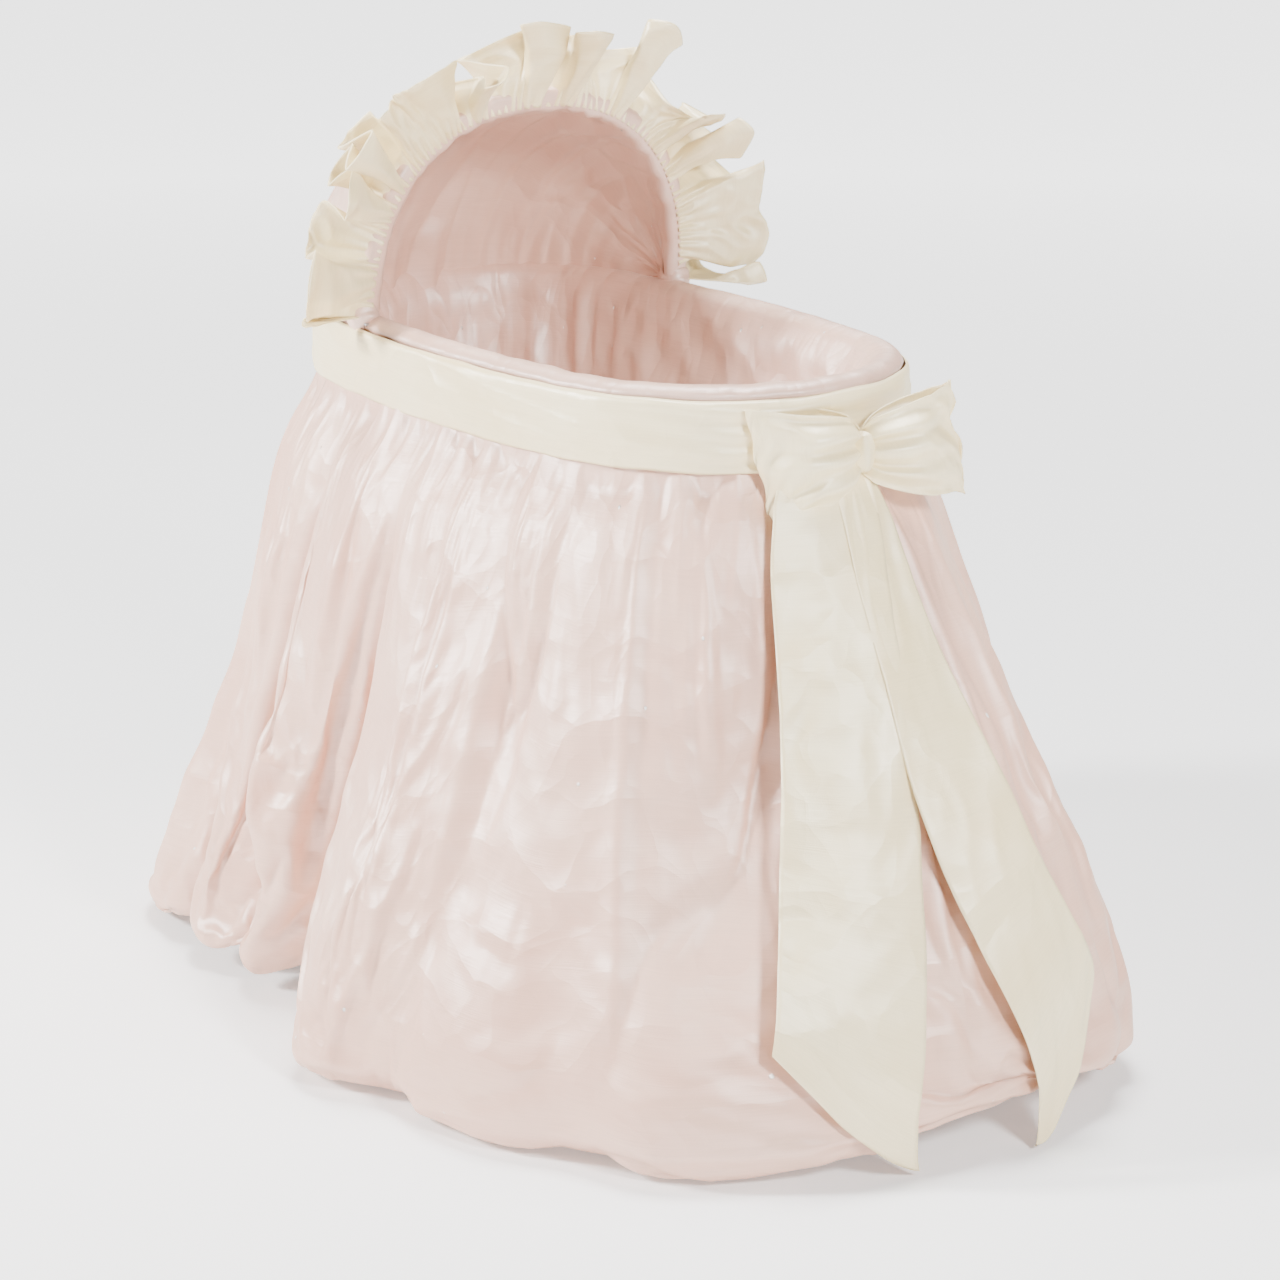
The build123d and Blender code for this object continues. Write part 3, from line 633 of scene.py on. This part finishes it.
def make_sash():
    """The band round the rim, with long creases that close in towards the knot."""
    rows, columns = 26, 1000
    turn = np.arange(columns) / columns
    share = np.linspace(0, 1, rows)[:, None]
    # 1 at the knot, falling to 0 away from it.
    near = np.exp(-((((turn + 0.5) % 1 - 0.5) / 0.055) ** 2))
    z = SASH_BOTTOM + (SASH_TOP + 0.001 - SASH_BOTTOM) * share
    z = z + 0.0022 * noise(turn * 13, share * 0, 13, 41) + 0.0012 * noise(turn * 40, share * 0, 40, 42)
    belly = 0.003 * np.sin(np.pi * share) ** 0.7
    edge = -0.0025 * smooth(share, 0.94, 1.0)
    long = creases(turn * 9, share * 3 + turn * 3, 9, 43)
    pulled = np.cos(TAU * (share * 3.5 + 0.4 * noise(turn * 20, share, 20, 44)))
    soft = noise(turn * 30, share * 1.5, 30, 45)
    out = 0.0028 + belly + edge + 0.0012 * long + 0.0014 * soft + 0.0028 * near * pulled
    across = np.linspace(0, SASH_CUT[0], columns + 1)
    uv = cloth_uv(across, share * (SASH_TOP - SASH_BOTTOM))
    sash = surface("sash_cloth", on_oval(turn, out, z), uv, closed=True)
    thicken(sash, SILK_THICKNESS)
    dress(sash, "ivory_silk")
    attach(sash, "basket")
    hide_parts("sash_band")


KNOT = np.array([0.431, 0.024, 0.670])
KNOT_DEEP = 0.015
KNOT_WIDE = 0.012
KNOT_TALL = 0.042


def make_knot():
    """The wrapped centre of the bow: a pinched barrel with folds across it."""
    rows, columns = 48, 64
    share = np.linspace(0, 1, rows)[:, None]
    turn = np.arange(columns) / columns
    pinch = (0.62 + 0.38 * np.sin(np.pi * share)) * np.minimum(np.sin(np.pi * share) / 0.25, 1) ** 0.5
    folds = 1 + 0.05 * np.cos(TAU * 5 * turn + 3 * share) + 0.05 * noise(turn * 6, share * 3, 6, 46)
    x = KNOT[0] + 0.002 + KNOT_DEEP * pinch * folds * np.cos(TAU * turn)
    y = KNOT[1] + KNOT_WIDE * pinch * folds * np.sin(TAU * turn)
    z = KNOT[2] + KNOT_TALL * (share - 0.5) + 0 * turn
    uv = cloth_uv(0.10 * np.linspace(0, 1, columns + 1)[None, :], 0.05 * share)
    knot = surface("bow_knot_cloth", np.stack(np.broadcast_arrays(x, y, z), -1), uv, closed=True)
    dress(knot, "ivory_silk")
    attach(knot, "basket")
    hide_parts("bow_knot")


LOOP_CUT = (0.13, 0.27)


def make_loop(name, heading, reach, spread, droop, slant, puff, node, seed):
    """A ribbon loop: out from the knot over the front, round its far end, and back behind."""
    rows, columns = 96, 64
    share = np.linspace(0, 1, rows)[:, None]
    across = np.linspace(-1, 1, columns)[None, :]
    far = np.sin(np.pi * share) ** 0.65
    front = np.cos(np.pi * share)
    width = spread * (0.34 + 0.66 * far**0.5)
    pleats = np.cos(TAU * (1.7 * across + 0.25 * noise(across * 2, share * 4, 8, seed)))
    belly = puff * np.sin(np.pi * 0.85 * far**0.8) * (1 - 0.35 * across**2)
    facets = creases(across * 1.5 + share * 4, share * 5 + across, 16, seed + 1)
    out = belly * (0.35 + 0.65 * front) + 0.006 * pleats * (1 - far) ** 0.7 + 0.0034 * facets * far
    end = reach * (1 + slant * across + 0.06 * noise(across * 2, share * 0, 8, seed + 2))
    bow = far * end
    waver = 0.003 * noise(share * 5, across * 1.5, 16, seed + 3)
    z = KNOT[2] - droop * far**1.3 + width * across / 2 + waver
    turned = np.radians(heading)
    along = np.array([np.cos(turned), np.sin(turned)])
    outward = np.array([abs(np.sin(turned)), -np.cos(turned) * np.sign(np.sin(turned))])
    flat = KNOT[:2] + bow[..., None] * along + out[..., None] * outward
    points = np.concatenate([flat, (z + 0 * bow)[..., None]], -1)
    loop = surface(name, points, cloth_uv(LOOP_CUT[0] * (across + 1) / 2, LOOP_CUT[1] * share))
    thicken(loop, SILK_THICKNESS)
    dress(loop, "ivory_silk")
    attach(loop, "basket")
    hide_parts(node)


def skirt_reach(skirt, turn, height):
    """How far the skirt's real surface stands out from the oval, found from outside."""
    tree = BVHTree.FromObject(skirt, bpy.context.evaluated_depsgraph_get())
    start = 0.5
    x, y, nx, ny = oval(turn, start)
    found = np.zeros(turn.shape)
    for at in np.ndindex(turn.shape):
        _, _, _, distance = tree.ray_cast((x[at], y[at], height[at]), (-nx[at], -ny[at], 0))
        found[at] = start - distance if distance else 0.0
    return found


def spanned(values, rows, columns):
    """The values raised to their neighbours' highest, then evened out, as ribbon spans what it lies on."""

    def windows(grid):
        wide = np.pad(grid, ((rows, rows), (columns, columns)), mode="edge")
        shifts = [(i, j) for i in range(2 * rows + 1) for j in range(2 * columns + 1)]
        return [wide[i : i + grid.shape[0], j : j + grid.shape[1]] for i, j in shifts]

    return np.mean(windows(np.max(windows(values), 0)), 0)


# How far down the skirt's cloth a tail reaches.
TAIL_DROP = 0.635


def make_tail(name, skirt, turns, widths, node, flat, slant, seed):
    """A sash end that hangs from the knot and lies down the skirt, cut on the slant."""
    rows, columns = 150, 30
    share = np.linspace(0, 1, rows)[:, None]
    across = np.linspace(-1, 1, columns)[None, :]
    stretch = share * (1 + slant * across * share**3)
    way = SKIRT_START + stretch * TAIL_DROP
    width = curve_through(stretch, widths)
    spin = width / 2 * across / (END_RADIUS + 0.02 + curve_through(way, SKIRT_PROFILE))
    turn = curve_through(stretch, turns) + spin * END_RADIUS / PERIMETER
    height = curve_through(way, SKIRT_HEIGHTS) + 0.004
    under = skirt_reach(skirt, turn, height)
    under = np.maximum(under, 0.006 + 0.006 * (1 - smooth(share, 0.05, 0.22)))
    out = spanned(under, 7, 9) + 0.004 + 0.002 * (1 + noise(across * 1.2, share * 5, 8, seed))
    out = out + 0.0012 * creases(across * 1.6 + share * 4, share * 7, 8, seed + 1)
    uv = cloth_uv(flat[0] * (across + 1) / 2, flat[1] * share)
    tail = surface(name, on_oval(turn, out, height), uv)
    thicken(tail, THIN_SILK)
    dress(tail, "ivory_silk")
    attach(tail, "basket")
    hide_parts(node)


def make_bow(skirt):
    make_knot()
    make_loop("bow_loop_cloth_right", -108, 0.106, 0.132, 0.016, 0.13, 0.040, "bow_loop_right", 51)
    make_loop("bow_loop_cloth_left", 86, 0.112, 0.116, -0.004, -0.10, 0.032, "bow_loop_left", 61)
    make_tail(
        "sash_tail_cloth_right", skirt,
        [(0, 0.996), (0.15, 0.988), (0.5, 0.981), (1, 0.969)],
        [(0, 0.075), (0.05, 0.105), (0.12, 0.122), (0.3, 0.128), (1, 0.146)],
        "sash_tail_right", (0.14, 0.70), 0.12, 71,
    )
    make_tail(
        "sash_tail_cloth_left", skirt,
        [(0, 0.006), (0.3, 0.008), (0.6, 0.012), (1, 0.028)],
        [(0, 0.04), (0.1, 0.06), (0.3, 0.08), (1, 0.11)],
        "sash_tail_left", (0.09, 0.70), -0.15, 81,
    )


# --- Hood ---
ARCH_POWER = 2 / 2.3
FRONT_ANGLE = np.radians(97)
REAR_ANGLE = np.radians(-3.5)
# The way that the hood's opening faces.
AHEAD = np.array([np.sin(FRONT_ANGLE), 0, np.cos(FRONT_ANGLE)])
# The canopy's outside and inside arches at the rear, and how much less they are at the front.
OUTER_WIDTH = 0.2155
OUTER_HEIGHT = 0.246
INNER_WIDTH = 0.190
INNER_HEIGHT = 0.219
WIDTH_TAPER = 0.004
HEIGHT_TAPER = 0.015


def arch(turn, angle, half_width, height, foot):
    """A point on a hood arch.

    `turn` goes from 0 at its +Y foot to 1 over the top, and `angle` is up from the head end.
    """
    c, s = np.cos(np.pi * turn), np.sin(np.pi * turn)
    y = half_width * np.sign(c) * np.abs(c) ** ARCH_POWER
    rise = foot + (height - foot) * np.abs(s) ** ARCH_POWER
    x = PIVOT[0] - rise * np.cos(angle)
    z = PIVOT[2] + rise * np.sin(angle)
    return np.stack(np.broadcast_arrays(x, y, z), -1)


def make_canopy():
    """One padded sheet: the outside from the rear to the opening, a rolled edge, and the lining back."""
    turns, steps = 300, 150
    turn = np.linspace(0.0, 1.0, turns)[None, :]
    share = np.linspace(0, 1, steps)[:, None]
    # 0 at the rear rim outside, 0.47 to 0.53 round the opening's edge, 1 at the rear rim inside.
    outside = 1 - smooth(share, 0.47, 0.53)
    forward = np.minimum(np.clip(share / 0.48, 0, 1), np.clip((1 - share) / 0.48, 0, 1))
    tucked = np.radians(5.5) * (1 - outside) * (1 - smooth(forward, 0, 0.12))
    angle = REAR_ANGLE + (FRONT_ANGLE - REAR_ANGLE) * forward - tucked
    along = noise(turn * 34 + 3 * forward, forward * 2, 64, 91)
    deep = creases(turn * 15 + 2.2 * forward, forward * 1.5, 64, 92) * (1 - smooth(forward, 0.85, 1.0))
    lobes = noise(turn * 9, forward * 5, 64, 93)
    ends = np.exp(-forward / 0.06) + np.exp(-(1 - forward) / 0.05)
    pucker = noise(turn * 90, forward * 3, 128, 94) * ends
    outer_height = OUTER_HEIGHT - HEIGHT_TAPER * forward + 0.004 * lobes + 0.0012 * along + 0.0016 * pucker
    slack = 0.004 * np.sin(np.pi * forward)
    folds = 0.0070 * deep + 0.0042 * along + 0.0022 * pucker
    inner_height = INNER_HEIGHT - HEIGHT_TAPER * forward + folds - slack
    outer_width = OUTER_WIDTH - WIDTH_TAPER * forward + 0.002 * lobes
    inner_width = INNER_WIDTH - WIDTH_TAPER * forward + 0.002 * along
    height = inner_height + (outer_height - inner_height) * outside
    width = inner_width + (outer_width - inner_width) * outside
    rolled = 0.010 * np.sin(np.pi * np.clip((share - 0.46) / 0.08, 0, 1)) ** 0.7
    points = arch(turn, angle, width, height, 0.004) + rolled[..., None] * AHEAD
    uv = cloth_uv(0.75 * turn + 0 * share, 0.8 * share + 0 * turn)
    canopy = surface("hood_canopy", points, uv)
    dress(canopy, "pink_silk_lining")
    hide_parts("hood_rear_panel", "hood_middle_panel", "hood_front_panel")
    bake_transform(canopy)


CORNER_LONG = 0.020
CORNER_TALL = 0.019
CORNER_Y = 0.2025
CORNER_HALF = 0.0165


def make_corner(side, name):
    """The gathered corner of the canopy, which covers the pivot."""
    rows, columns = 40, 72
    share = np.linspace(0, 1, rows)[:, None]
    turn = np.arange(columns) / columns
    ring = np.sin(np.pi * share) ** 0.8
    folds = 1 + 0.07 * noise(turn * 12, share * 3, 12, 95) + 0.04 * np.cos(TAU * 9 * turn)
    x = PIVOT[0] - 0.004 + CORNER_LONG * ring * folds * np.cos(TAU * turn)
    z = PIVOT[2] - 0.003 + CORNER_TALL * ring * folds * np.sin(TAU * turn)
    y = side * (CORNER_Y + CORNER_HALF * np.cos(np.pi * share)) + 0 * turn
    uv = cloth_uv(0.12 * np.linspace(0, 1, columns + 1)[None, :], 0.06 * share)
    corner = surface(name, np.stack(np.broadcast_arrays(x, y, z), -1), uv, closed=True)
    dress(corner, "pink_silk_lining")
    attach(corner, "basket")


RUFFLE_CUT = (1.50, 0.088)
RUFFLE_FOLDS = 12
RUFFLE_CRIMPS = 80
# How far its folds swing ahead and back, how far it stands up from its seam, and how far back it may go.
RUFFLE_SWING = 0.046
RUFFLE_REACH = 0.084
RUFFLE_BACK = -0.034


def make_ruffle():
    """A strip gathered on to the front arch: crimped at the seam, with big uneven folds at its free edge."""
    rows, columns = 34, 1200
    share = np.linspace(0, 1, columns)[None, :]
    out = np.linspace(0, 1, rows)[:, None]
    phase = TAU * (RUFFLE_FOLDS * share + 0.7 * noise(share * 10, 0, 64, 101))
    size = RUFFLE_SWING * (1 + 0.6 * noise(share * 14, 0, 64, 102))
    crimp = np.sin(TAU * RUFFLE_CRIMPS * share + 3 * noise(share * 20, 0, 64, 103))
    slide = -0.026 * out**1.1 * zigzag(2 * phase + 0.6) + 0.016 * out * noise(share * 17, out, 64, 104)
    turn = -0.025 + 1.05 * share + slide
    width = RUFFLE_REACH * (1 + 0.30 * noise(share * 18, 0, 64, 105) + 0.22 * out * zigzag(phase))
    flap = smooth(noise(share * 9, 0, 64, 106), 0.2, 0.5)
    rise = 0.002 + width * out * (1 - 0.35 * flap * out)
    ahead = 0.010 + size * out * zigzag(phase) + 0.034 * flap * out**1.4 + 0.0022 * crimp * (1 - out) ** 2
    ahead = ahead + 0.004 * creases(share * 50 + out, out * 3, 64, 107) * out
    seam = arch(np.clip(turn, 0, 1), FRONT_ANGLE, 0.196, 0.210, 0.0)
    c, s = np.cos(np.pi * turn), np.sin(np.pi * turn)
    up = np.stack([-np.cos(FRONT_ANGLE) * s, c, np.sin(FRONT_ANGLE) * s], -1)
    points = seam + rise[..., None] * up + np.maximum(ahead, RUFFLE_BACK)[..., None] * AHEAD
    uv = cloth_uv(RUFFLE_CUT[0] * share + 0 * out, RUFFLE_CUT[1] * out + 0 * share)
    ruffle = surface("hood_ruffle_cloth", points, uv)
    thicken(ruffle, THIN_SILK, 0.0)
    dress(ruffle, "ivory_silk")
    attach(ruffle, "hood_front")
    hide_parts("hood_ruffle")


# --- The CAD nodes that stay ---
def dress_cad():
    slots = {part["node"]: part["material_slot"] for part in frame["record"]["subparts"]}
    for name, node in NODES.items():
        if not node.hide_render:
            node.data.materials.clear()
            node.data.materials.append(MATERIALS[slots[name]])


# --- Floor, light and camera ---
FLOOR_HALF = 40.0
WALL_RADIUS = 39
WHITE = (1, 1, 1, 1)
# Each light's name, place, aim, size and power.
LIGHTS = [
    ("key", (4.1, -0.3, 2.6), (0, 0, 0.45), (0.7, 0.7), 290),
    ("side", (-1.5, -3.3, 2.1), (0, 0, 0.45), (0.5, 0.8), 400),
    ("top", (-0.3, 0.4, 4.6), (0, 0, 0), (1.8, 1.8), 430),
]


def make_floor():
    """Pale paper, which glows more with distance so that it nearly matches the wall."""
    corners = flat_square(FLOOR_HALF)
    floor = surface("floor", corners, corners[..., :2])
    material, tree, shader = new_material("floor_paper")
    place = add(tree, "TexCoord").outputs["Object"]
    fibre = clouds(tree, place, 400.0)
    base = mixed(tree, ramp(tree, fibre, 0.3, 0.7), (0.86, 0.86, 0.86), (0.84, 0.84, 0.84))
    tree.links.new(base, shader.inputs["Base Color"])
    shader.inputs["Roughness"].default_value = 0.9
    distance = add(tree, "VectorMath", {0: place}, operation="LENGTH").outputs["Value"]
    tree.links.new(ramp(tree, distance, 1.0, 6.0, 0.35, 3.0), shader.inputs["Emission Strength"])
    shader.inputs["Emission Color"].default_value = WHITE
    floor.data.materials.append(material)


def make_backdrop():
    """A pale wall all round, far off. It is only seen, and adds no light."""
    turn = np.linspace(0, TAU, 97)[None, :-1]
    height = np.array([[30.0], [-1.0]])
    x = WALL_RADIUS * np.cos(turn)
    y = WALL_RADIUS * np.sin(turn)
    points = np.stack(np.broadcast_arrays(x, y, height), -1)
    uv = np.concatenate([points, points[:, :1]], 1)[..., :2]
    wall = surface("backdrop", points, uv, closed=True)
    material, tree, shader = new_material("backdrop_paper")
    place = add(tree, "TexCoord").outputs["Object"]
    cloud = clouds(tree, place, 0.05)
    tree.links.new(ramp(tree, cloud, 0.3, 0.7, 2.4, 2.5), shader.inputs["Emission Strength"])
    shader.inputs["Emission Color"].default_value = WHITE
    wall.data.materials.append(material)
    wall.visible_diffuse = False
    wall.visible_glossy = False
    wall.visible_shadow = False


def make_light(name, place, aim, size, power):
    data = bpy.data.lights.new(name, "AREA")
    data.shape = "RECTANGLE"
    data.size, data.size_y = size
    data.energy = power
    light = bpy.data.objects.new(name, data)
    light.location = place
    light.rotation_euler = (Vector(aim) - Vector(place)).to_track_quat("-Z", "Y").to_euler()
    bpy.context.scene.collection.objects.link(light)


def make_world():
    world = bpy.data.worlds.new("studio")
    world.use_nodes = True
    background = world.node_tree.nodes["Background"]
    background.inputs["Color"].default_value = WHITE
    background.inputs["Strength"].default_value = 0.07
    bpy.context.scene.world = world


def make_camera():
    data = bpy.data.cameras.new("camera")
    data.lens = 105.85
    data.sensor_width = 36.0
    data.shift_y = -0.0174
    camera = bpy.data.objects.new("camera", data)
    camera.location = (3.3084, -2.1835, 1.4888)
    back = Vector((0.7992, -0.5403, 0.2635))
    camera.rotation_euler = back.to_track_quat("Z", "Y").to_euler()
    bpy.context.scene.collection.objects.link(camera)
    bpy.context.scene.camera = camera


skirt_cloth = make_skirt()
make_underskirt()
make_lining()
make_mattress()
make_sash()
make_bow(skirt_cloth)
make_canopy()
make_corner(1, "hood_corner_left")
make_corner(-1, "hood_corner_right")
make_ruffle()
dress_cad()
make_floor()
make_backdrop()
for light in LIGHTS:
    make_light(*light)
make_world()
make_camera()
